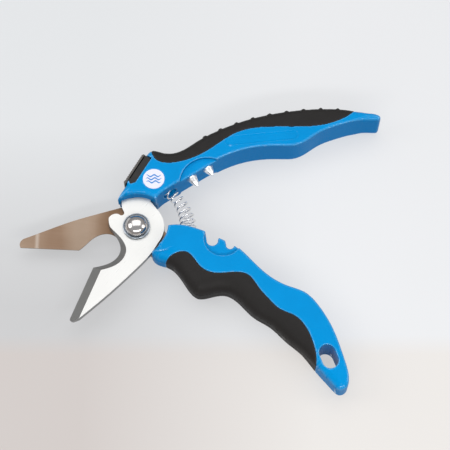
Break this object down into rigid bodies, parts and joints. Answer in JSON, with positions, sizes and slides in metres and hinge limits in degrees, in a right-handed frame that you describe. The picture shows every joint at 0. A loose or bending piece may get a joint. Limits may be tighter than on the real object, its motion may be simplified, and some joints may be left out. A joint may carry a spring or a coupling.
{
  "type": "spring-open bypass fishing snips",
  "caption": "Hand snips with two crossing notched blades, moulded handles with soft grips, a coil return spring, a slide lock, gripping spikes and an oval lanyard hole.",
  "frame": {"origin": "on the pivot axis, in the plane the tool rests on, which is the flat end of the pivot bolt's head", "axes": "+Z along the pivot axis towards the dome nut, +X from the pivot towards the handles, +Y towards the upper handle"},
  "size_m": [0.1454, 0.1202, 0.0141],
  "materials": {
    "front_blade_steel": "satin, ground bevel",
    "rear_blade_steel": "satin",
    "polished_steel": "polished",
    "plain_steel": "plain",
    "black_plastic": "moulded",
    "badge_enamel": "pale, printed with a plain wave mark",
    "black_rubber": "soft-touch moulded rubber",
    "blue_plastic": "moulded, semi-gloss"
  },
  "bodies": {
    "upper_lever": {"front_blade": "front_blade_steel", "upper_handle": "blue_plastic", "upper_grip": "black_rubber", "gripping_spikes": "polished_steel", "badge_disc": "badge_enamel", "upper_tang_pins": "plain_steel", "pivot_bolt": "polished_steel", "rear_washer": "polished_steel", "pivot_collar": "polished_steel", "pivot_nut": "polished_steel", "detent_leaf": "plain_steel", "return_spring": "polished_steel"},
    "lower_lever": {"rear_blade": "rear_blade_steel", "lower_handle": "blue_plastic", "lower_grip": "black_rubber", "lower_tang_pins": "plain_steel"},
    "lock_slide": {"lock_button": "black_plastic", "lock_bar": "plain_steel"}
  },
  "joints": [
    {"name": "handle_pivot", "type": "hinge", "parent": "upper_lever", "child": "lower_lever", "pos_m": [0, 0, 0.007], "axis": [0, 0, 1], "range_deg": [0, 47], "stiffness_Nm_per_rad": 0.35, "springref_deg": -20.05, "deforming": ["return_spring"]},
    {"name": "lock_travel", "type": "slide", "parent": "upper_lever", "child": "lock_slide", "axis": [-0.5, -0.866, 0], "range_m": [0, 0.003]}
  ]
}
